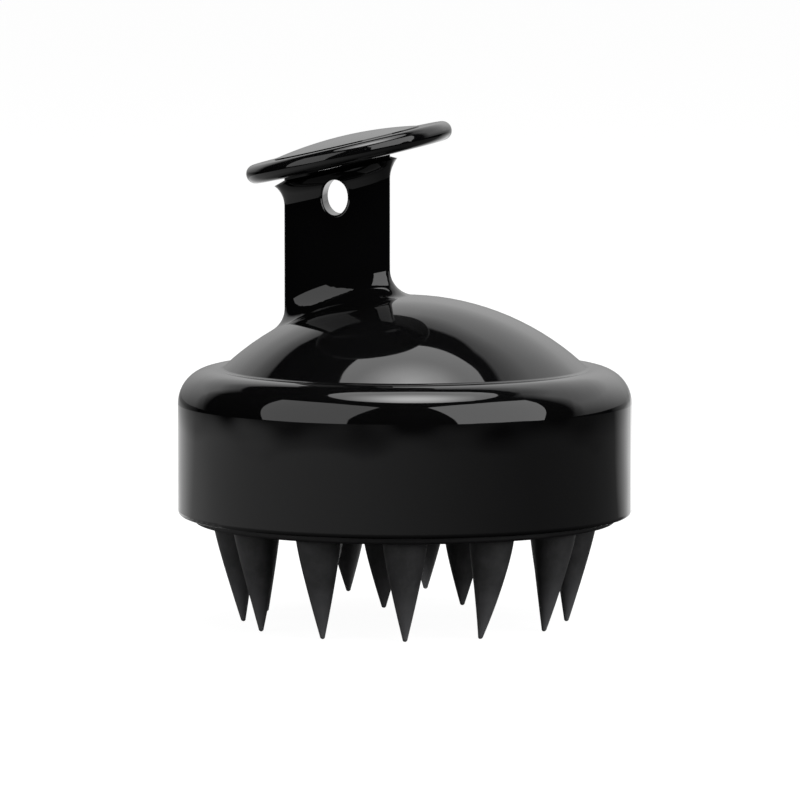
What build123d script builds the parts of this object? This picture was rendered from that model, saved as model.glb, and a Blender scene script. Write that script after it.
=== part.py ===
from build123d import *
import math
import os

# Scalp massager brush: a hollow round body with a blade-shaped neck, a tilted grip disc on
# top of the neck, and a silicone pad of cone-shaped teeth underneath.
# Frame: +Z up along the body's axis, Z = 0 where the tips of the outer teeth stand, X along
# the blade of the neck (the neck stands towards -X and the grip disc rises towards +X).
# All sizes are in millimetres.

# --- teeth -------------------------------------------------------------------------------
outer_tooth_count = 12
outer_tooth_height = 17.85    # from the pad's face down to the tip
outer_tooth_root = 7.76       # diameter where a tooth leaves the pad
outer_ring_inset = 7.2        # from the pad's edge in to the middle of a tooth root
outer_tooth_lean = 4.7        # degrees: the tips stand further in than the roots
inner_tooth_count = 6
inner_tooth_height = 13.75
inner_tooth_root = 7.2
inner_ring_radius = 14.7
inner_tooth_lean = 2.0
centre_tooth_height = 13.75
centre_tooth_root = 7.2
tooth_tip_radius = 0.45
tooth_shoulder = 3.0          # how far a tooth keeps most of its root's width
first_tooth_angle = -81.5     # degrees about Z: one outer tooth points this way
inner_ring_turn = -15.0      # degrees: the inner teeth stand between the outer ones

# --- silicone pad ------------------------------------------------------------------------
pad_thickness = 5.0
pad_reveal = 1.25             # how far the pad stands out below the rim of the body
pad_edge_round = 0.6
pad_gap = 0.4                 # between the pad's edge and the skirt's inner wall
root_gap = 0.3                # around the ball at the root of each tooth
peg_count = 6
peg_inset = 6.2               # from the pad's edge in to the middle of a peg
peg_diameter = 4.0
peg_head_diameter = 5.6
peg_head_height = 1.3
peg_head_taper = 12.0
peg_gap = 0.1                 # between a peg and its hole in the carrier plate
peg_first_angle = 15.0

# --- carrier plate inside the body -------------------------------------------------------
carrier_thickness = 3.0
carrier_gap = 0.2             # between the carrier plate and the skirt's inner wall
carrier_rib_inset = 8.0        # from the bosses' circle in to the rib's outer wall
carrier_rib_width = 1.6
carrier_rib_height = 3.0

# --- body shell --------------------------------------------------------------------------
body_diameter = 80.0
wall = 2.4
rim_corner = 0.9              # rounding of the rim's outer corner
skirt_height = 19.7           # straight wall, from the rim up to the start of the shoulder
shoulder_radius = 6.2
groove_inset = 1.5            # from the top of the shoulder in to the foot of the dome
groove_fillet = 0.8
shoulder_mid_angle = 40.0     # where the middle point of the shoulder's arc is taken
slack = 0.1                   # used when picking edges by place
dome_rise = 12.8              # from the top of the shoulder up to the top of the dome

# --- screws that hold the carrier plate ----------------------------------------------------
boss_count = 4
boss_inset = 7.0              # from the pegs' circle in to the bosses' circle
boss_diameter = 6.6
boss_first_angle = 45.0
carrier_screw_diameter = 2.5
carrier_screw_length = 10.0
carrier_screw_head = 5.4
carrier_screw_head_height = 2.0
screw_gap = 0.03              # between a screw and its pilot hole, on the radius
head_gap = 0.2                # around a screw's head
drill_point = 1.0             # pilot depth beyond the end of a screw
recess_width = 0.7            # cross recess in a screw's head
recess_share = 0.55           # of the head's diameter and of its height
head_round = 0.35             # of the head's height
screw_point = 0.25            # of the screw's diameter

# --- neck --------------------------------------------------------------------------------
neck_offset = -12.05          # the neck's middle, along X from the body's axis
neck_width = 18.8
neck_thickness = 7.0
neck_height = 22.9            # from the top of the dome's ellipse up to the grip disc
neck_foot_fillet = 4.5
foot_room_share = 0.8         # of the dome's width outside the neck that the fillet may take
neck_core_wall = 2.3          # wall around the hollow that runs up inside the neck
neck_core_clear = 4.0         # solid left between that hollow and the hang hole
grip_tilt = 13.2              # degrees: the grip disc rises towards +X
collar_gap = 1.25             # between the grip disc and the sharp edge of the collar
collar_bevel = 0.6
collar_height = 3.6
collar_radius = 5.0           # of the hollow curve under the collar
collar_shift = -0.25
collar_steps = 6              # sections through the collar
hang_hole_width = 4.5
hang_hole_height = 6.3
hang_hole_round = 0.4
hang_hole_drop = 5.6          # from the grip disc down to the hole's middle
hang_hole_shift = 0.1         # the hole's middle, along X from the neck's middle

# --- grip disc and its cover ---------------------------------------------------------------
grip_diameter = 37.0
grip_thickness = 3.3
rim_flat = 0.1                # flat left between the two roundings of the disc's rim
grip_shift = 2.55             # the disc's middle, up the slope from the neck's middle
cover_diameter = 26.0
cover_thickness = 1.1
cover_proud = 0.15            # how far the cover's edge stands above the disc
cover_crown = 1.25            # how far the cover's middle stands above its edge
cover_gap = 0.08
grip_screw_spacing = 12.0
grip_screw_shift = -0.6
grip_screw_diameter = 2.1
grip_screw_length = 5.5       # below the grip disc
grip_screw_head = 4.6
grip_screw_head_height = 1.0
head_floor_gap = 0.05         # between a screw's head and the cover

# --- worked out from the sizes above -------------------------------------------------------
body_radius = body_diameter / 2
inner_radius = body_radius - wall
pad_radius = inner_radius - pad_gap
outer_ring_radius = pad_radius - outer_ring_inset
peg_circle_radius = pad_radius - peg_inset
boss_circle_radius = peg_circle_radius - boss_inset
carrier_rib_radius = boss_circle_radius - carrier_rib_inset
pad_face_z = outer_tooth_height
pad_back_z = pad_face_z + pad_thickness
carrier_top_z = pad_back_z + carrier_thickness
rim_z = pad_face_z + pad_reveal
shoulder_z = rim_z + skirt_height
shoulder_centre_r = body_radius - shoulder_radius
shoulder_top_z = shoulder_z + shoulder_radius
groove_r = shoulder_centre_r - groove_inset
groove_z = shoulder_z + math.sqrt(shoulder_radius**2 - groove_inset**2)
dome_apex_z = shoulder_top_z + dome_rise
dome_height = dome_apex_z - groove_z
dome_radius = (groove_r**2 + dome_height**2) / (2 * dome_height)
dome_centre_z = dome_apex_z - dome_radius

foot_room = groove_r - groove_fillet - (abs(neck_offset) + neck_width / 2)
foot_fillet = min(neck_foot_fillet, foot_room_share * foot_room)

slope = math.radians(grip_tilt)
seat_z = dome_apex_z + neck_height
seat_plane = Plane(
    origin=(neck_offset, 0, seat_z),
    x_dir=(math.cos(slope), 0, math.sin(slope)),
    z_dir=(-math.sin(slope), 0, math.cos(slope)),
)
grip_plane = Plane(
    origin=seat_plane.from_local_coords((grip_shift, 0, 0)),
    x_dir=seat_plane.x_dir,
    z_dir=seat_plane.z_dir,
)
hang_hole_x = neck_offset + hang_hole_shift
hang_hole_z = seat_z - hang_hole_drop
neck_core_top_z = hang_hole_z - hang_hole_height / 2 - neck_core_clear

carrier_screw_reach = carrier_screw_length - (carrier_thickness - carrier_screw_head_height)
head_seat = grip_thickness - cover_thickness - grip_screw_head_height - head_floor_gap
# Along the slope from the neck's middle, and the same places from the disc's middle.
grip_screw_places = [
    (grip_screw_shift - grip_screw_spacing / 2, 0),
    (grip_screw_shift + grip_screw_spacing / 2, 0),
]
grip_screw_places_on_disc = [(x - grip_shift, y) for x, y in grip_screw_places]
# Root diameter, ring radius, count and first angle of each ring of teeth.
tooth_rings = [
    (outer_tooth_root, outer_ring_radius, outer_tooth_count, first_tooth_angle),
    (inner_tooth_root, inner_ring_radius, inner_tooth_count, first_tooth_angle + inner_ring_turn),
    (centre_tooth_root, 0, 1, 0),
]


def screw(head_plane, head_diameter, head_height, diameter, length):
    """One pan-head screw: its head sits on head_plane's origin and its shank runs along -z."""
    along = Axis(head_plane.origin, head_plane.z_dir)
    with BuildPart(mode=Mode.PRIVATE) as one_screw:
        with BuildSketch(head_plane):
            Circle(head_diameter / 2)
        extrude(amount=head_height)
        fillet(one_screw.faces().sort_by(along)[-1].edges(), head_height * head_round)
        with BuildSketch(head_plane):
            Circle(diameter / 2)
        extrude(amount=-length)
        chamfer(one_screw.faces().sort_by(along)[0].edges(), diameter * screw_point)
        with BuildSketch(head_plane.offset(head_height)):
            Rectangle(head_diameter * recess_share, recess_width)
            Rectangle(recess_width, head_diameter * recess_share)
        extrude(amount=-head_height * recess_share, mode=Mode.SUBTRACT)
    return one_screw.part


def ring_point(radius, angle, z):
    """A point at this radius from the Z axis, this many degrees round from +X."""
    turn = math.radians(angle)
    return (radius * math.cos(turn), radius * math.sin(turn), z)


# --- body shell ----------------------------------------------------------------------------
# The hollow inside the shell, less the columns that are left standing as screw bosses.
with BuildPart() as cavity:
    with BuildSketch(Plane.XZ):
        with BuildLine():
            ceiling_z = groove_z - wall
            dome_side = math.sqrt((dome_radius - wall) ** 2 - (ceiling_z - dome_centre_z) ** 2)
            inner_dome = RadiusArc(
                (0, dome_apex_z - wall), (dome_side, ceiling_z), dome_radius - wall
            )
            ceiling = Line(inner_dome @ 1, (shoulder_centre_r, ceiling_z))
            inner_shoulder = Line(ceiling @ 1, (inner_radius, shoulder_z))
            inner_wall = Line(inner_shoulder @ 1, (inner_radius, rim_z - wall))
            mouth = Line(inner_wall @ 1, (0, rim_z - wall))
            Line(mouth @ 1, inner_dome @ 0)
        make_face()
    revolve(axis=Axis.Z)
    with BuildSketch(Plane.XY.offset(carrier_top_z)):
        with PolarLocations(boss_circle_radius, boss_count, start_angle=boss_first_angle):
            Circle(boss_diameter / 2)
    extrude(amount=dome_apex_z - carrier_top_z, mode=Mode.SUBTRACT)
    # The neck is cored out from below, to keep its walls even.
    with BuildSketch(Plane.XY.offset(neck_core_top_z)):
        with Locations((neck_offset, 0)):
            Ellipse(neck_width / 2 - neck_core_wall, neck_thickness / 2 - neck_core_wall)
    extrude(amount=-(neck_core_top_z - shoulder_z))

# The ball lies on its side, so that its poles stay clear of the foot of the neck.
with BuildPart() as dome:
    with Locations((0, 0, dome_centre_z)):
        Sphere(dome_radius, rotation=(0, 90, 0))
    with BuildSketch(Plane.XY.offset(shoulder_z)):
        Circle(groove_r)
    extrude(amount=dome_radius, mode=Mode.INTERSECT)

with BuildPart() as body_shell:
    # Skirt and shoulder are one turned section, and the dome is the cap of a ball.
    with BuildSketch(Plane.XZ) as section:
        with BuildLine():
            shoulder_mid = math.radians(shoulder_mid_angle)
            shoulder_line = ThreePointArc(
                (groove_r, groove_z),
                (
                    shoulder_centre_r + shoulder_radius * math.sin(shoulder_mid),
                    shoulder_z + shoulder_radius * math.cos(shoulder_mid),
                ),
                (body_radius, shoulder_z),
            )
            skirt_line = Line(shoulder_line @ 1, (body_radius, rim_z))
            rim_line = Line(skirt_line @ 1, (0, rim_z))
            middle_line = Line(rim_line @ 1, (0, groove_z))
            Line(middle_line @ 1, shoulder_line @ 0)
        make_face()
        fillet(section.vertices().sort_by_distance((body_radius, rim_z))[0], rim_corner)
    revolve(axis=Axis.Z)
    add(dome.part)
    groove_edges = body_shell.edges().filter_by(
        lambda edge: abs(edge.bounding_box().min.Z - groove_z) < slack
        and edge.bounding_box().size.Z < slack
    )
    fillet(groove_edges, groove_fillet)
    # The neck rises out of the dome as an upright blade, cut off along the grip disc's slope.
    with BuildSketch(seat_plane):
        Ellipse(neck_width / 2 / math.cos(slope), neck_thickness / 2)
    extrude(amount=neck_height + dome_rise, dir=(0, 0, -1))
    foot_edges = body_shell.edges().filter_by(
        lambda edge: edge.bounding_box().min.Z > groove_z
        and edge.bounding_box().max.Z < dome_apex_z + slack
        and edge.bounding_box().max.X < neck_offset + neck_width / 2 + slack
        and edge.bounding_box().size.X > slack
    )
    fillet(foot_edges, foot_fillet)
    # A hollow-sided collar flares out below the grip disc and ends in a sharp edge.
    for step in range(collar_steps + 1):
        along = collar_height * step / collar_steps
        depth = collar_gap + collar_height - along
        swell = collar_radius - math.sqrt(collar_radius**2 - along**2)
        shift = collar_shift * step / collar_steps
        with BuildSketch(seat_plane.offset(-depth)):
            with Locations((shift - depth * math.tan(slope), 0)):
                Ellipse((neck_width / 2 + swell) / math.cos(slope), neck_thickness / 2 + swell)
    loft()
    with BuildSketch(seat_plane.offset(-collar_gap)):
        with Locations((collar_shift - collar_gap * math.tan(slope), 0)):
            Ellipse((neck_width / 2 + swell) / math.cos(slope), neck_thickness / 2 + swell)
    with BuildSketch(seat_plane.offset(collar_bevel - collar_gap)):
        with Locations(((collar_bevel - collar_gap) * math.tan(slope), 0)):
            Ellipse(neck_width / 2 / math.cos(slope), neck_thickness / 2)
    loft(ruled=True)
    # The oval hang hole runs through the blade from front to back.
    with BuildSketch(Plane.XZ) as hole_outline:
        with Locations((hang_hole_x, hang_hole_z)):
            Ellipse(hang_hole_width / 2, hang_hole_height / 2)
    extrude(amount=neck_thickness, both=True, mode=Mode.SUBTRACT)
    hole_edges = body_shell.edges().filter_by(
        lambda edge: abs(edge.center().X - hang_hole_x) < hang_hole_width
        and abs(edge.center().Z - hang_hole_z) < hang_hole_height
        and edge.bounding_box().size.Z > hang_hole_height / 4
        and edge.bounding_box().size.Z < hang_hole_height + slack
        and abs(edge.center().Y) > slack
    )
    fillet(hole_edges, hang_hole_round)
    add(cavity.part, mode=Mode.SUBTRACT)
    # Pilot holes in the bosses, and two in the top of the neck.
    with BuildSketch(Plane.XY.offset(carrier_top_z)):
        with PolarLocations(boss_circle_radius, boss_count, start_angle=boss_first_angle):
            Circle(carrier_screw_diameter / 2 + screw_gap)
    extrude(amount=carrier_screw_reach + drill_point, mode=Mode.SUBTRACT)
    with BuildSketch(seat_plane):
        with Locations(*grip_screw_places):
            Circle(grip_screw_diameter / 2 + screw_gap)
    extrude(amount=-(grip_screw_length + drill_point), mode=Mode.SUBTRACT)

# --- grip disc, its cover and its screws -----------------------------------------------------
with BuildPart() as grip_plate:
    with BuildSketch(grip_plane):
        Circle(grip_diameter / 2)
    extrude(amount=grip_thickness)
    rim_edges = grip_plate.edges().filter_by(GeomType.CIRCLE)
    fillet(rim_edges, grip_thickness / 2 - rim_flat / 2)
    with BuildSketch(grip_plane.offset(grip_thickness)):
        Circle(cover_diameter / 2 + cover_gap)
    extrude(amount=-cover_thickness, mode=Mode.SUBTRACT)
    with BuildSketch(grip_plane.offset(head_seat)):
        with Locations(*grip_screw_places_on_disc):
            Circle(grip_screw_head / 2 + head_gap)
    extrude(amount=grip_thickness, mode=Mode.SUBTRACT)
    with BuildSketch(grip_plane):
        with Locations(*grip_screw_places_on_disc):
            Circle(grip_screw_diameter / 2 + head_gap)
    extrude(amount=grip_thickness, mode=Mode.SUBTRACT)

# The cover is crowned: half of its section, with an arc along the top, turned once round.
cover_seat = grip_plane.offset(grip_thickness - cover_thickness)
cover_section = Plane(cover_seat.origin, x_dir=grip_plane.x_dir, z_dir=-grip_plane.y_dir)
cover_middle = (0, cover_thickness + cover_proud + cover_crown)
with BuildPart() as grip_cover:
    with BuildSketch(cover_section):
        with BuildLine():
            cover_floor = Line((0, 0), (cover_diameter / 2, 0))
            cover_wall = Line(cover_floor @ 1,
                              (cover_diameter / 2, cover_thickness + cover_proud))
            TangentArc(cover_middle, cover_wall @ 1, tangent=(1, 0))
            Line(cover_middle, cover_floor @ 0)
        make_face()
    revolve(axis=Axis(cover_seat.origin, grip_plane.z_dir))

grip_screw_set = []
for place in grip_screw_places_on_disc:
    head_at = Plane(
        origin=grip_plane.from_local_coords((place[0], place[1], head_seat)),
        x_dir=grip_plane.x_dir,
        z_dir=grip_plane.z_dir,
    )
    grip_screw_set.append(
        screw(head_at, grip_screw_head, grip_screw_head_height, grip_screw_diameter,
              grip_screw_length + head_seat)
    )
with BuildPart() as grip_screws:
    add(grip_screw_set)

# --- carrier plate and its screws ------------------------------------------------------------
with BuildPart() as carrier_plate:
    with BuildSketch(Plane.XY.offset(pad_back_z)):
        Circle(inner_radius - carrier_gap)
        with PolarLocations(peg_circle_radius, peg_count, start_angle=peg_first_angle):
            Circle(peg_diameter / 2 + peg_gap, mode=Mode.SUBTRACT)
        with PolarLocations(boss_circle_radius, boss_count, start_angle=boss_first_angle):
            Circle(carrier_screw_diameter / 2 + head_gap, mode=Mode.SUBTRACT)
    extrude(amount=carrier_thickness)
    with BuildSketch(Plane.XY.offset(carrier_top_z)):
        Circle(carrier_rib_radius)
        Circle(carrier_rib_radius - carrier_rib_width, mode=Mode.SUBTRACT)
    extrude(amount=carrier_rib_height)
    with BuildSketch(Plane.XY.offset(pad_back_z)):
        with PolarLocations(boss_circle_radius, boss_count, start_angle=boss_first_angle):
            Circle(carrier_screw_head / 2 + head_gap)
    extrude(amount=carrier_screw_head_height, mode=Mode.SUBTRACT)

carrier_screw_set = []
for index in range(boss_count):
    angle = boss_first_angle + index * 360 / boss_count
    head_at = Plane(
        origin=ring_point(boss_circle_radius, angle, pad_back_z + carrier_screw_head_height),
        x_dir=(1, 0, 0),
        z_dir=(0, 0, -1),
    )
    carrier_screw_set.append(
        screw(head_at, carrier_screw_head, carrier_screw_head_height, carrier_screw_diameter,
              carrier_screw_length)
    )
with BuildPart() as carrier_screws:
    add(carrier_screw_set)

# --- teeth -----------------------------------------------------------------------------------
def tooth(ring_radius, angle, lean, root_diameter, height):
    """A tooth that hangs from the pad's face: a ball-shaped root and a slightly full cone."""
    turn = math.radians(angle)
    tilt = math.radians(lean)
    outward = Vector(math.cos(turn), math.sin(turn), 0)
    tangent = Vector(-math.sin(turn), math.cos(turn), 0)
    up = Vector(0, 0, 1)
    across = outward * math.cos(tilt) - up * math.sin(tilt)
    spine = outward * math.sin(tilt) + up * math.cos(tilt)
    root = root_diameter / 2
    length = height / math.cos(tilt)
    pivot = ring_point(ring_radius, angle, pad_face_z)
    with BuildPart(mode=Mode.PRIVATE) as one_tooth:
        with BuildSketch(Plane(origin=pivot, x_dir=across, z_dir=tangent * -1)):
            with BuildLine():
                ball = CenterArc((0, 0), root, 0, 90)
                tip_z = tooth_tip_radius - length
                Bezier((root, 0), (root, -tooth_shoulder), (tooth_tip_radius, tip_z))
                tip = CenterArc((0, tip_z), tooth_tip_radius, 0, -90)
                Line(tip @ 1, ball @ 1)
            make_face()
        revolve(axis=Axis(pivot, spine))
    return one_tooth.part


teeth = {}
for index in range(outer_tooth_count):
    angle = first_tooth_angle + index * 360 / outer_tooth_count
    teeth[f"tooth_outer_{index + 1:02d}"] = tooth(
        outer_ring_radius, angle, outer_tooth_lean, outer_tooth_root, outer_tooth_height
    )
for index in range(inner_tooth_count):
    angle = first_tooth_angle + inner_ring_turn + index * 360 / inner_tooth_count
    teeth[f"tooth_inner_{index + 1:02d}"] = tooth(
        inner_ring_radius, angle, inner_tooth_lean, inner_tooth_root, inner_tooth_height
    )
teeth["tooth_centre"] = tooth(0, 0, 0, centre_tooth_root, centre_tooth_height)

# --- silicone pad ----------------------------------------------------------------------------
with BuildPart() as bristle_pad:
    with BuildSketch(Plane.XY.offset(pad_face_z)):
        Circle(pad_radius)
    extrude(amount=pad_thickness)
    fillet(bristle_pad.edges().sort_by(Axis.Z)[0], pad_edge_round)
    # Pull-through pegs: the necks fill the carrier's holes and the heads grip its top face.
    with BuildSketch(Plane.XY.offset(pad_back_z)):
        with PolarLocations(peg_circle_radius, peg_count, start_angle=peg_first_angle):
            Circle(peg_diameter / 2)
    extrude(amount=carrier_thickness)
    with BuildSketch(Plane.XY.offset(carrier_top_z)):
        with PolarLocations(peg_circle_radius, peg_count, start_angle=peg_first_angle):
            Circle(peg_head_diameter / 2)
    extrude(amount=peg_head_height, taper=peg_head_taper)
    # A ball cup for each tooth's root.
    for cup_root, cup_radius, cup_count, cup_angle in tooth_rings:
        with PolarLocations(cup_radius, cup_count, start_angle=cup_angle):
            with Locations((0, 0, pad_face_z)):
                Sphere(cup_root / 2 + root_gap, mode=Mode.SUBTRACT)

# --- write the parts -------------------------------------------------------------------------
os.makedirs("parts", exist_ok=True)
parts = {
    "body_shell": body_shell.part,
    "grip_plate": grip_plate.part,
    "grip_cover": grip_cover.part,
    "grip_screws": grip_screws.part,
    "carrier_plate": carrier_plate.part,
    "carrier_screws": carrier_screws.part,
    "bristle_pad": bristle_pad.part,
    **teeth,
}
for name, part in parts.items():
    part.label = name
    export_step(part, f"parts/{name}.step")
    print(name, round(part.volume, 1), "mm3")
print("overall height", round(max(part.bounding_box().max.Z for part in parts.values()), 2))
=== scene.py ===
# %% [markdown]
# # A scalp massager brush, finished for the camera
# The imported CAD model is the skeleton: every node already stands in its real place, in
# metres, with Z = 0 where the tips of the teeth touch the floor. This lesson shows what is
# left to do in Blender: the silicone, which is soft and moulded in one go on the real brush,
# the finishes of each material, and a small photo studio to show the gloss.

# %% Load the frame
import bmesh
import bpy
import math
from mathutils import Matrix, Vector


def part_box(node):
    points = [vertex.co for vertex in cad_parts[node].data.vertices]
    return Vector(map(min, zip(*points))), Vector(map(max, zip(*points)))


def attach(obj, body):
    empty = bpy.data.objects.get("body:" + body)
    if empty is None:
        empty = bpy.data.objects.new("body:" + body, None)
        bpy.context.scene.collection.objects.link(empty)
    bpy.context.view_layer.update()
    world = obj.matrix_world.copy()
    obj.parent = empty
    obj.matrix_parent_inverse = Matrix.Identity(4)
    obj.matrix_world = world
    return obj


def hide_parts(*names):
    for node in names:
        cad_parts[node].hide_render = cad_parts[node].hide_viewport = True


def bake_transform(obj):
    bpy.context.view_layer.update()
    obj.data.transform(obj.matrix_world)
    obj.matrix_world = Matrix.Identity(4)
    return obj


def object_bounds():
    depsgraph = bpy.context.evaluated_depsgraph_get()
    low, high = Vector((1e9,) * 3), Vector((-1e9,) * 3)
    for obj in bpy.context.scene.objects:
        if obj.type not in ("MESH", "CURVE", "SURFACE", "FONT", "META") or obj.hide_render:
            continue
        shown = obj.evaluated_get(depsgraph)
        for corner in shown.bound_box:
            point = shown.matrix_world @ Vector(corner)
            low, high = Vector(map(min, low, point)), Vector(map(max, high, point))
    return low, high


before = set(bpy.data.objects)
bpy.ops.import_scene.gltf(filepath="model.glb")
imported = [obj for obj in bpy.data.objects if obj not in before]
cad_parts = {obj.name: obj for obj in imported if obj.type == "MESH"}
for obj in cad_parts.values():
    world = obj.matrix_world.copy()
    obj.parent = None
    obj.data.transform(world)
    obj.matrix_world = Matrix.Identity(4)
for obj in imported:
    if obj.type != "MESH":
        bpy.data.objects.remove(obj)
cad_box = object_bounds()
MM = 0.001
height = cad_box[1].z - cad_box[0].z
print("CAD height", round(height / MM, 1), "mm, nodes", len(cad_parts))

# %% [markdown]
# ## Small tools
# Operators in Blender act on whatever is selected, so a clean start matters more than
# anything else: `start_clean` leaves edit mode and deselects everything, the CAD nodes too.
# `pick` then selects faces or edges in edit mode by where they are, which is what a hand
# would do with the mouse.

# %% Tools for modelling
def start_clean():
    """Leave edit mode and deselect everything."""
    if bpy.context.object is not None and bpy.context.object.mode != "OBJECT":
        bpy.ops.object.mode_set(mode="OBJECT")
    bpy.ops.object.select_all(action="DESELECT")


def pick(kind, wanted):
    """In edit mode, select only the edges or faces with every corner where the test wants it."""
    bpy.ops.mesh.select_mode(type={"edges": "EDGE", "faces": "FACE"}[kind])
    bpy.ops.mesh.select_all(action="DESELECT")
    shape = bmesh.from_edit_mesh(bpy.context.edit_object.data)
    for item in {"edges": shape.edges, "faces": shape.faces}[kind]:
        item.select_set(all(wanted(corner.co) for corner in item.verts))
    shape.select_flush_mode()
    bmesh.update_edit_mesh(bpy.context.edit_object.data)


def settle(piece, name, smooth_angle):
    """Name a piece, move its place into its mesh, shade it smooth and print its size."""
    start_clean()
    piece.select_set(True)
    bpy.context.view_layer.objects.active = piece
    bpy.ops.object.transform_apply(location=True, rotation=True, scale=True)
    bpy.ops.object.shade_smooth_by_angle(angle=math.radians(smooth_angle))
    piece.name = piece.data.name = name
    print(name, [round(side / MM, 1) for side in piece.dimensions], "mm")


# %% [markdown]
# ## The silicone bed
# The teeth grow out of a 5 mm thick round bed of silicone that is pulled into a carrier plate
# by six pegs. Its edge stands a little out of the rim, and that edge is soft, because
# silicone is moulded with rounded corners. A cylinder gives the bed, an inset and a bevel
# give the rounded edge, and each peg is a round face on the back, extruded twice.

# %% Measure the bed
bed_lo, bed_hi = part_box("bristle_pad")
face_z = bed_lo.z
bed_radius = bed_hi.x
BED_THICKNESS = 5.0 * MM
EDGE_ROUND = 0.6 * MM
BED_SIDES = 192
back_z = face_z + BED_THICKNESS
print("bed radius", round(bed_radius / MM, 1), "face at", round(face_z / MM, 1), "mm")

# %% Model the bed
SNAP = 0.01 * MM
start_clean()
bpy.ops.mesh.primitive_cylinder_add(
    vertices=BED_SIDES, radius=bed_radius, depth=BED_THICKNESS, end_fill_type="NGON",
    location=(0, 0, face_z + BED_THICKNESS / 2),
)
bed = bpy.context.object
bpy.ops.object.transform_apply(location=True, rotation=True, scale=True)
bpy.ops.object.mode_set(mode="EDIT")
pick("edges", lambda place: place.z < face_z + SNAP)
bpy.ops.mesh.bevel(offset=EDGE_ROUND, segments=6, affect="EDGES")
pick("faces", lambda place: place.z < face_z + SNAP)
bpy.ops.mesh.inset(thickness=EDGE_ROUND)
bpy.ops.object.mode_set(mode="OBJECT")

# %% [markdown]
# ## The pegs on the back of the bed
# Silicone can't be screwed, so the bed carries six pegs with mushroom heads. Each is pulled
# through a hole in the carrier plate, and its head springs open behind it. One peg is shaped
# from a short cylinder, by pushing its end out wide and up again, and copied round the circle.

# %% Model one peg and copy it
PEG_RADIUS = 2.0 * MM
PEG_HEIGHT = 3.0 * MM
PEG_HEAD_RADIUS = 2.8 * MM
PEG_HEAD_HEIGHT = 1.3 * MM
PEG_HEAD_TAPER = 0.9
PEG_CIRCLE = 31.0 * MM
PEG_COUNT = 6
PEG_FIRST_ANGLE = 15.0
PEG_SIDES = 24


def push_out(shift, share, centre):
    """Extrude what is selected by shift, then scale the new end across Z about centre."""
    bpy.ops.mesh.extrude_region_move(TRANSFORM_OT_translate={"value": shift})
    bpy.ops.transform.resize(value=(share, share, 1), center_override=centre)


start_clean()
bpy.ops.mesh.primitive_cylinder_add(
    vertices=PEG_SIDES, radius=PEG_RADIUS, depth=PEG_HEIGHT, end_fill_type="NGON",
    location=(0, 0, back_z + PEG_HEIGHT / 2),
)
peg = bpy.context.object
bpy.ops.object.transform_apply(location=True, rotation=True, scale=True)
bpy.ops.object.mode_set(mode="EDIT")
neck_top = back_z + PEG_HEIGHT
pick("faces", lambda place: place.z > neck_top - SNAP)
push_out((0, 0, 0), PEG_HEAD_RADIUS / PEG_RADIUS, (0, 0, neck_top))
push_out((0, 0, PEG_HEAD_HEIGHT), PEG_HEAD_TAPER, (0, 0, neck_top + PEG_HEAD_HEIGHT))
bpy.ops.object.mode_set(mode="OBJECT")

pegs = [peg]
for index in range(1, PEG_COUNT):
    copy = peg.copy()
    copy.data = peg.data.copy()
    bpy.context.collection.objects.link(copy)
    pegs.append(copy)
for index, copy in enumerate(pegs):
    turn = math.radians(PEG_FIRST_ANGLE + index * 360 / PEG_COUNT)
    copy.data.transform(Matrix.Rotation(turn, 4, "Z") @ Matrix.Translation((PEG_CIRCLE, 0, 0)))

start_clean()
for copy in pegs:
    copy.select_set(True)
bed.select_set(True)
bpy.context.view_layer.objects.active = bed
bpy.ops.object.join()
settle(bed, "silicone_bed", 40)
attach(bed, "brush_body")
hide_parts("bristle_pad")

# %% [markdown]
# ## The teeth
# Each tooth is a slightly full cone with a soft round tip, and it leaves the bed through a
# small hollow foot, because a sharp inner corner would tear. The outer teeth are longer and
# lean inwards. A tooth could be spun from a profile, but growing it ring by ring from a
# circle keeps every ring level with the bed, so a leaning tooth still meets the bed squarely.
# `outline` gives each ring's depth and radius; the rings are closest at the foot, where the
# silicone will bend.

# %% The outline of a tooth
TIP_RADIUS = 0.45 * MM
FULLNESS = 3.0 * MM
FOOT = 0.8 * MM
SUNK = 0.4 * MM
FLANK_RINGS = 26
TIP_RINGS = 5
CROWDING = 1.4


def outline(root, length):
    """Depth below the bed's face and radius of each ring of a tooth, from foot to tip."""
    rings = [(-SUNK, root + FOOT)]
    for index in range(FLANK_RINGS + 1):
        share = (index / FLANK_RINGS) ** CROWDING
        depth = 2 * share * (1 - share) * FULLNESS + share**2 * (length - TIP_RADIUS)
        radius = root - (root - TIP_RADIUS) * share**2
        if depth < FOOT:
            radius += FOOT - math.sqrt(FOOT**2 - (FOOT - depth) ** 2)
        rings.append((depth, radius))
    for index in range(1, TIP_RINGS):
        angle = math.radians(90 * index / TIP_RINGS)
        rings.append((length - TIP_RADIUS * (1 - math.sin(angle)),
                      TIP_RADIUS * math.cos(angle)))
    return rings


# %% Grow a tooth ring by ring
SIDES = 48


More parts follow.
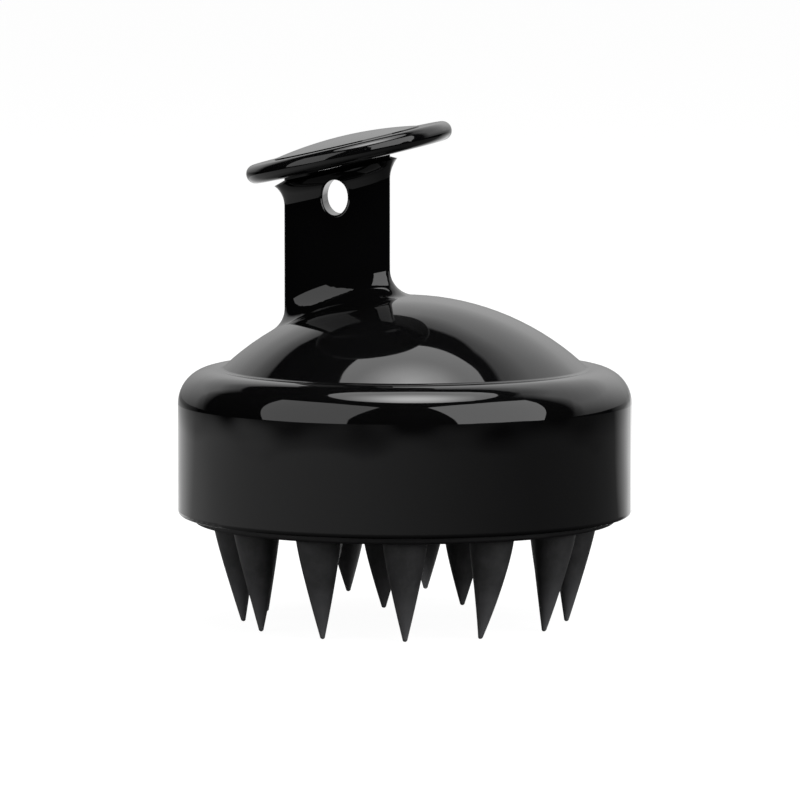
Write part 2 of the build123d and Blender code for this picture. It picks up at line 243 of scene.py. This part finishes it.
def grow_tooth(root, length, lean):
    """One tooth that hangs from the origin, with its tip leaning towards -X."""
    rings = outline(root, length)
    slant = math.tan(math.radians(lean))
    depth, radius = rings[0]
    start_clean()
    bpy.ops.mesh.primitive_circle_add(vertices=SIDES, radius=radius, fill_type="NOTHING",
                                      location=(-depth * slant, 0, -depth))
    tooth = bpy.context.object
    bpy.ops.object.transform_apply(location=True, rotation=True, scale=True)
    bpy.ops.object.mode_set(mode="EDIT")
    bpy.ops.mesh.select_mode(type="VERT")
    bpy.ops.mesh.select_all(action="SELECT")
    for next_depth, next_radius in rings[1:]:
        drop = next_depth - depth
        push_out((-drop * slant, 0, -drop), next_radius / radius,
                 (-next_depth * slant, 0, -next_depth))
        depth, radius = next_depth, next_radius
    bpy.ops.mesh.extrude_region_move(
        TRANSFORM_OT_translate={"value": (-(length - depth) * slant, 0, depth - length)})
    bpy.ops.mesh.merge(type="CENTER")
    pick("edges", lambda place: place.z > SUNK - SNAP)
    bpy.ops.mesh.edge_face_add()
    bpy.ops.mesh.select_all(action="SELECT")
    bpy.ops.mesh.normals_make_consistent(inside=False)
    bpy.ops.object.mode_set(mode="OBJECT")
    return tooth


# %% Place the teeth
FIRST_TOOTH = -81.5
INNER_TURN = -15.0
OUTER_RING = bed_radius - 7.2 * MM
INNER_RING = 14.7 * MM
OUTER_LENGTH = face_z - cad_box[0].z
INNER_LENGTH = 13.75 * MM
# Node, how many, the first one's angle, ring radius, root radius, length and lean.
tooth_plans = [
    ("tooth_outer", 12, FIRST_TOOTH, OUTER_RING, 3.88 * MM, OUTER_LENGTH, 4.7),
    ("tooth_inner", 6, FIRST_TOOTH + INNER_TURN, INNER_RING, 3.6 * MM, INNER_LENGTH, 2.0),
    ("tooth_centre", 1, 0.0, 0.0, 3.6 * MM, INNER_LENGTH, 0.0),
]
# Silicone takes a set in its box: these teeth have tips bent sideways, along +X, by this much.
SET_IN_THE_BOX = {"tooth_outer_02": -1.25 * MM, "tooth_outer_03": -0.45 * MM,
                  "tooth_outer_11": -0.4 * MM}


def bend_tip(tooth, shift, length):
    """Bend a finished tooth in a growing curve, so that its tip moves by shift along X."""
    for point in tooth.data.vertices:
        depth = max(0, face_z - point.co.z) / length
        point.co.x += shift * depth**2


teeth = []
for kind, count, first_angle, ring, root, length, lean in tooth_plans:
    model = grow_tooth(root, length, lean)
    for index in range(count):
        node = kind if count == 1 else f"{kind}_{index + 1:02d}"
        copy = bpy.data.objects.new(node, model.data.copy())
        bpy.context.collection.objects.link(copy)
        turn = Matrix.Rotation(math.radians(first_angle + index * 360 / count), 4, "Z")
        pivot = turn @ Vector((ring, 0, 0)) + Vector((0, 0, face_z))
        copy.data.transform(Matrix.Translation(pivot) @ turn)
        bend_tip(copy, SET_IN_THE_BOX.get(node, 0), length)
        settle(copy, "silicone_" + node, 50)
        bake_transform(copy)
        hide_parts(node)
        teeth.append(copy)
    bpy.data.objects.remove(model)
print("teeth", len(teeth))

# %% [markdown]
# ## Finishes
# Every surface here is moulded or pressed, and what tells them apart is how they scatter
# light: mirror-gloss ABS, matt silicone, satin polypropylene and zinc-plated steel. Colours
# are given as sRGB hex values, as a designer would, and `colour` turns them to the linear
# values that shaders work in. `add_node` places one node with its settings and links.

# %% Tools for materials
# A Mix node has sockets for numbers and vectors too: these are its colour sockets.
MIX_FROM, MIX_TO, MIX_RESULT = 6, 7, 2


def colour(code):
    """An sRGB hex colour, such as #1c1c1e, as the linear colour a shader expects."""
    shares = [int(code[place:place + 2], 16) / 255 for place in (1, 3, 5)]
    linear = [s / 12.92 if s <= 0.04045 else ((s + 0.055) / 1.055) ** 2.4 for s in shares]
    return (*linear, 1.0)


def add_node(tree, kind, inputs, **settings):
    """Add a node; inputs are values or other nodes' outputs, and settings its options."""
    node = tree.nodes.new(kind)
    for option, value in settings.items():
        setattr(node, option, value)
    for socket, value in inputs.items():
        if isinstance(value, bpy.types.NodeSocket):
            tree.links.new(value, node.inputs[socket])
        else:
            node.inputs[socket].default_value = value
    return node


def ramp(tree, value, span, result=(0.0, 1.0)):
    """A number that goes from one end of result to the other while value crosses span."""
    return add_node(tree, "ShaderNodeMapRange",
                    {"Value": value, "From Min": span[0], "From Max": span[1],
                     "To Min": result[0], "To Max": result[1]}).outputs["Result"]


def combine(tree, operation, first, *others):
    """One number from several, as their product, their sum, or by another operation."""
    for other in others:
        first = add_node(tree, "ShaderNodeMath", {0: first, 1: other},
                         operation=operation).outputs["Value"]
    return first


def blend_colours(tree, factor, dark, light):
    """The colour between two hex codes, or between a node's colour and a hex code."""
    mix = add_node(tree, "ShaderNodeMix", {"Factor": factor}, data_type="RGBA")
    if isinstance(dark, bpy.types.NodeSocket):
        tree.links.new(dark, mix.inputs[MIX_FROM])
    else:
        mix.inputs[MIX_FROM].default_value = colour(dark)
    mix.inputs[MIX_TO].default_value = colour(light)
    return mix.outputs[MIX_RESULT]


def blank_material(name):
    """A new material with its node tree emptied, and its Object coordinates."""
    material = bpy.data.materials.new(name)
    material.use_nodes = True
    material.node_tree.nodes.clear()
    place = add_node(material.node_tree, "ShaderNodeTexCoord", {}).outputs["Object"]
    return material, material.node_tree, place


def finish_material(tree, shader_inputs):
    """End a material with a Principled shader that has these inputs."""
    shader = add_node(tree, "ShaderNodeBsdfPrincipled", shader_inputs)
    add_node(tree, "ShaderNodeOutputMaterial", {"Surface": shader.outputs["BSDF"]})


def paint(piece, material):
    """Give a piece this one material, in every slot it has."""
    if not piece.material_slots:
        piece.data.materials.append(material)
    for slot in piece.material_slots:
        slot.material = material
    print(material.name, "on", piece.name)


# %% [markdown]
# ## Mirror-gloss black ABS
# The shell, the grip disc and its cover are ABS, injection moulded in a polished steel mould.
# The black is deep, almost without diffuse light, so all that is seen is reflection: IOR 1.5
# and a very low roughness. What makes it plastic and not glass is a slow waviness a few
# millimetres long, where the skin shrank as it cooled, and a faint haze where it was wiped.

# %% Gloss ABS
def gloss_abs(name, dark, light):
    """Injection-moulded ABS from a polished mould: deep black, mirror gloss, slightly wavy."""
    material, tree, place = blank_material(name)
    cloud = add_node(tree, "ShaderNodeTexNoise",
                     {"Vector": place, "Scale": 1 / (11 * MM), "Detail": 3.0})
    tint = blend_colours(tree, cloud.outputs["Fac"], dark, light)
    haze = ramp(tree, cloud.outputs["Fac"], (0.35, 0.7), (0.02, 0.05))
    wave = add_node(tree, "ShaderNodeTexNoise",
                    {"Vector": place, "Scale": 1 / (7 * MM), "Detail": 0.0})
    skin = add_node(tree, "ShaderNodeBump",
                    {"Height": wave.outputs["Fac"], "Strength": 1.0, "Distance": 0.05 * MM})
    finish_material(tree, {"Base Color": tint, "Roughness": haze, "IOR": 1.5,
                           "Normal": skin.outputs["Normal"]})
    return material


paint(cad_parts["body_shell"], gloss_abs("gloss black ABS shell", "#070707", "#0a0a0b"))
paint(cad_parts["grip_plate"], gloss_abs("gloss black ABS grip", "#070707", "#0a0a0b"))
paint(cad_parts["grip_cover"], gloss_abs("gloss black ABS cover", "#080808", "#0b0b0c"))

# %% [markdown]
# ## Matt black silicone
# Silicone for skin is moulded in a blasted mould, so it has a fine grain and a dull, even
# sheen; it also holds a little dust. Its IOR is 1.41. A quarter-millimetre grain breaks up the
# highlight, and a slow cloud lightens it here and there, as talc and dust do. The last
# millimetres of each tooth are painted lighter. This is painted light for the light the tips
# catch below the shell's shade. Height alone finds them, because all the tips point down.

# %% Silicone
# Painted light on the tips reaches this far up from the floor.
PAINTED_TIP_LIGHT_BELOW = 10.0 * MM


def matt_silicone(name, dark, light, tip):
    """Compression-moulded silicone from a blasted mould: matt, finely grained, a little dusty,
    with painted light that makes the tips lighter.
    """
    material, tree, place = blank_material(name)
    dust = add_node(tree, "ShaderNodeTexNoise",
                    {"Vector": place, "Scale": 1 / (3 * MM), "Detail": 6.0, "Roughness": 0.65})
    tint = blend_colours(tree, ramp(tree, dust.outputs["Fac"], (0.4, 0.75)), dark, light)
    level = add_node(tree, "ShaderNodeSeparateXYZ", {"Vector": place}).outputs["Z"]
    # Painted light: the last millimetres of each tooth are mixed towards the lighter tip colour.
    tint_with_painted_tip_light = blend_colours(tree, ramp(tree, level, (PAINTED_TIP_LIGHT_BELOW, 0.0)), tint, tip)
    dull = ramp(tree, dust.outputs["Fac"], (0.0, 1.0), (0.42, 0.62))
    grain = add_node(tree, "ShaderNodeTexNoise",
                     {"Vector": place, "Scale": 1 / (0.25 * MM), "Detail": 2.0})
    skin = add_node(tree, "ShaderNodeBump",
                    {"Height": grain.outputs["Fac"], "Strength": 0.5, "Distance": 0.03 * MM})
    finish_material(tree, {"Base Color": tint_with_painted_tip_light, "Roughness": dull, "IOR": 1.41,
                           "Normal": skin.outputs["Normal"]})
    return material


paint(bed, matt_silicone("matt black silicone bed", "#1a1a1b", "#232324", "#232324"))
# The teeth's copy of the silicone is painted lighter than the bed's, though it is the same
# silicone: painted light for the light the teeth catch, with more painted light at the tips.
tooth_silicone_painted_lighter = matt_silicone("matt black silicone teeth", "#3a3a3b", "#4a4a4b", "#666668")
for tooth in teeth:
    paint(tooth, tooth_silicone_painted_lighter)

# %% [markdown]
# ## The parts inside
# The carrier plate is satin polypropylene, milky in the highlights, and the screws are steel
# with a thin bright zinc plating, which is never quite even. Both stay as the CAD made them.

# %% Polypropylene and zinc-plated steel
def satin_polypropylene(name):
    """Moulded polypropylene: satin, a touch waxy, with a fine spark-eroded grain."""
    material, tree, place = blank_material(name)
    grain = add_node(tree, "ShaderNodeTexNoise",
                     {"Vector": place, "Scale": 1 / (0.4 * MM), "Detail": 3.0})
    tint = blend_colours(tree, grain.outputs["Fac"], "#19191a", "#242425")
    skin = add_node(tree, "ShaderNodeBump",
                    {"Height": grain.outputs["Fac"], "Strength": 0.4, "Distance": 0.05 * MM})
    finish_material(tree, {"Base Color": tint, "Roughness": 0.45, "IOR": 1.49,
                           "Normal": skin.outputs["Normal"]})
    return material


def zinc_steel(name):
    """Zinc-plated steel: bright, slightly blue, unevenly satin."""
    material, tree, place = blank_material(name)
    cloud = add_node(tree, "ShaderNodeTexNoise",
                     {"Vector": place, "Scale": 1 / (0.8 * MM), "Detail": 4.0})
    tint = blend_colours(tree, cloud.outputs["Fac"], "#b4b8bd", "#c9ccd0")
    satin = ramp(tree, cloud.outputs["Fac"], (0.0, 1.0), (0.22, 0.42))
    finish_material(tree, {"Base Color": tint, "Metallic": 1.0, "Roughness": satin})
    return material


paint(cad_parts["carrier_plate"], satin_polypropylene("satin polypropylene"))
screw_steel = zinc_steel("zinc-plated steel")
paint(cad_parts["carrier_screws"], screw_steel)
paint(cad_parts["grip_screws"], screw_steel)

# %% [markdown]
# ## The studio
# Gloss black shows nothing but its surroundings, so the lights are the picture: two tall
# softboxes in front, left and right of the camera, with a dark gap between them; one
# overhead, which draws the bright line round the shoulder; and a white room behind, which
# lights the edges and the top of the grip disc. The camera sees none of them, only white.

# %% Camera
CAMERA_AZIMUTH = 8.5
CAMERA_RISE = 5.4
CAMERA_DISTANCE = 1.2334
CAMERA_LENS = 315.0
AIM_LEFT = 0.86 * MM
AIM_DROP = 4.93 * MM


def direction(azimuth, rise):
    """Unit vector from the object: azimuth 0 is the front (-Y) and 90 the right (+X)."""
    a, e = math.radians(azimuth), math.radians(rise)
    return Vector((math.sin(a) * math.cos(e), -math.cos(a) * math.cos(e), math.sin(e)))


middle = Vector((0, 0, (cad_box[0].z + cad_box[1].z) / 2))
camera_right = direction(CAMERA_AZIMUTH + 90, 0)
aim = middle - camera_right * AIM_LEFT - Vector((0, 0, AIM_DROP))
toward_camera = direction(CAMERA_AZIMUTH, CAMERA_RISE)
start_clean()
bpy.ops.object.camera_add(location=aim + toward_camera * CAMERA_DISTANCE)
camera = bpy.context.object
camera.rotation_mode = "QUATERNION"
camera.rotation_quaternion = (-toward_camera).to_track_quat("-Z", "Y")
camera.data.lens = CAMERA_LENS
camera.data.sensor_width = 36.0
camera.data.clip_start, camera.data.clip_end = 0.05, 50.0
bpy.context.scene.camera = camera

# %% Softboxes
# An area light of P watts and A square metres shines with a radiance of P / (pi A).


def softbox(name, azimuth, rise, distance, size, radiance):
    """An area light that faces the object, of this width and height in metres."""
    away = direction(CAMERA_AZIMUTH + azimuth, rise)
    bpy.ops.object.light_add(type="AREA", location=middle + away * distance)
    lamp = bpy.context.object
    lamp.name = name
    lamp.rotation_mode = "QUATERNION"
    lamp.rotation_quaternion = away.to_track_quat("Z", "Y")
    lamp.data.shape = "RECTANGLE"
    lamp.data.size, lamp.data.size_y = size
    lamp.data.energy = math.pi * size[0] * size[1] * radiance
    lamp.visible_camera = False
    print(name, round(lamp.data.energy, 1), "W")


softbox("softbox_left", -52, 27, 1.0, (0.95, 1.0), 1.5)
softbox("softbox_right", 50, 27, 1.0, (0.98, 1.0), 2.7)

# %% [markdown]
# ## The overhead light
# A round softbox is never even: its lamp shows through the cloth as a brighter middle. An
# area lamp is even all over, so this one is a disc that glows, brightest a little toward the
# camera from its centre. Like the others it is hidden from the camera.

# %% Overhead light
TOP_RADIUS = 0.45
TOP_SIDES = 96
TOP_RIGHT, TOP_TOWARD, TOP_UP = 0.05, 0.05, 1.0
TOP_GLOW = (2.6, 9.5)
LAMP_SHIFT = 0.18
start_clean()
level_toward = direction(CAMERA_AZIMUTH, 0)
top_centre = middle + camera_right * TOP_RIGHT + level_toward * TOP_TOWARD
bpy.ops.mesh.primitive_circle_add(vertices=TOP_SIDES, radius=TOP_RADIUS, fill_type="NGON",
                                  location=top_centre + Vector((0, 0, TOP_UP)))
top_light = bpy.context.object
top_light.name = "softbox_top"
top_light.visible_camera = False
glow_cloth, tree, place = blank_material("glowing cloth")
reach = add_node(tree, "ShaderNodeVectorMath",
                 {0: place, 1: level_toward * LAMP_SHIFT},
                 operation="DISTANCE").outputs["Value"]
glow = add_node(tree, "ShaderNodeMapRange",
                {"Value": reach, "From Min": TOP_RADIUS, "From Max": 0.0,
                 "To Min": TOP_GLOW[0], "To Max": TOP_GLOW[1]},
                interpolation_type="SMOOTHSTEP").outputs["Result"]
cloth = add_node(tree, "ShaderNodeEmission", {"Strength": glow}).outputs["Emission"]
add_node(tree, "ShaderNodeOutputMaterial", {"Surface": cloth})
paint(top_light, glow_cloth)

# %% [markdown]
# ## The floor
# The camera sees a plain pale floor. Reflections see a glowing floor with painted light and
# shade: a pale mat round the brush, painted brighter on the camera's left and painted dark close
# in, a painted shadow of the brush. Beyond the mat is a dark studio, and behind the brush is a
# painted light from the white room, mostly on the right. Each of these is a share between 0 and
# about 2, read off the place on the floor by `ramp`.

# %% Floor
REFLECTED_FLOOR = 0.38
SEEN_FLOOR = 0.95
FLOOR_SIZE = 30.0
PAINTED_SHADOW_TO = (0.03, 0.12)
MAT_EDGE = (0.36, 0.45)


def camera_axes(tree, way):
    """A direction's shares to the camera's right (X), away from the camera (Y) and up (Z)."""
    turned = add_node(tree, "ShaderNodeVectorRotate",
                      {"Vector": way, "Angle": math.radians(-CAMERA_AZIMUTH)},
                      rotation_type="Z_AXIS").outputs["Vector"]
    unit = add_node(tree, "ShaderNodeVectorMath", {0: turned}, operation="NORMALIZE")
    return add_node(tree, "ShaderNodeSeparateXYZ", {"Vector": unit.outputs["Vector"]}).outputs


start_clean()
bpy.ops.mesh.primitive_plane_add(size=FLOOR_SIZE, location=(0, 0, cad_box[0].z))
floor = bpy.context.object
floor.name = "studio_floor"
floor_paint, tree, place = blank_material("pale floor")
seen = add_node(tree, "ShaderNodeLightPath", {}).outputs["Is Camera Ray"]
sides = camera_axes(tree, place)
away = add_node(tree, "ShaderNodeVectorMath", {0: place}, operation="LENGTH").outputs["Value"]
# Painted light and shade on the mat: lighter on the camera's left, and a painted shadow of the
# brush close in.
mat_with_painted_light_and_shadow = combine(tree, "MULTIPLY",
               ramp(tree, away, MAT_EDGE, (1.0, 0.0)),
               ramp(tree, away, PAINTED_SHADOW_TO),
               ramp(tree, sides["X"], (-1.0, 0.9), (1.2, 0.3)))
# Painted light behind the brush, standing in for the white room's light on the floor.
painted_room_light_behind = combine(tree, "MULTIPLY",
                 ramp(tree, sides["Y"], (0.6, 0.95)),
                 ramp(tree, away, (0.3, 0.9), (2.2, 0.9)),
                 ramp(tree, sides["X"], (-0.35, 0.35), (0.6, 1.4)))
total = combine(tree, "ADD", mat_with_painted_light_and_shadow, painted_room_light_behind)
glow = combine(tree, "MULTIPLY", total, REFLECTED_FLOOR)
# The floor glows with this painted light and shade only in reflections.
painted_floor_glow = add_node(tree, "ShaderNodeEmission", {"Strength": glow}).outputs["Emission"]
pale = add_node(tree, "ShaderNodeBsdfDiffuse", {"Color": colour("#707070")}).outputs["BSDF"]
lit = add_node(tree, "ShaderNodeEmission", {"Strength": SEEN_FLOOR}).outputs["Emission"]
bright = add_node(tree, "ShaderNodeAddShader", {0: pale, 1: lit}).outputs["Shader"]
both = add_node(tree, "ShaderNodeMixShader", {0: seen, 1: painted_floor_glow, 2: bright})
add_node(tree, "ShaderNodeOutputMaterial", {"Surface": both.outputs["Shader"]})
paint(floor, floor_paint)

# %% [markdown]
# ## The white room behind
# The camera sees white all round. Reflections see a room that is white only behind the brush.
# Its wall starts further back on the left than on the right, and its top edge slopes up to
# the right; under that edge it brightens in two steps, first sharply and then softly. It is
# dimmer near the floor and towards the left.

# %% World
world = bpy.data.worlds.new("studio")
world.use_nodes = True
tree = world.node_tree
tree.nodes.clear()
seen = add_node(tree, "ShaderNodeLightPath", {}).outputs["Is Camera Ray"]
look = add_node(tree, "ShaderNodeTexCoord", {}).outputs["Generated"]
sides = camera_axes(tree, look)
wall_start = ramp(tree, sides["X"], (-0.7, 0.2), (0.5, 0.05))
wall = ramp(tree, combine(tree, "SUBTRACT", sides["Y"], wall_start), (0.0, 0.2))
top = ramp(tree, sides["X"], (-0.35, 0.3), (0.66, 0.86))
below_top = combine(tree, "SUBTRACT", top, sides["Z"])
edge = combine(tree, "ADD",
               ramp(tree, below_top, (0.0, 0.02), (0.0, 0.55)),
               ramp(tree, below_top, (0.03, 0.14), (0.0, 0.45)))
low = ramp(tree, sides["Z"], (0.0, 0.35), (0.35, 1.0))
across = ramp(tree, sides["X"], (-0.4, 0.4), (0.8, 1.15))
glow = combine(tree, "MULTIPLY", wall, edge, low, across)
strength = combine(tree, "MAXIMUM", glow, seen)
sky = add_node(tree, "ShaderNodeBackground", {"Color": colour("#ffffff"), "Strength": strength})
add_node(tree, "ShaderNodeOutputWorld", {"Surface": sky.outputs["Background"]})
bpy.context.scene.world = world
bpy.context.scene.view_settings.view_transform = "Standard"
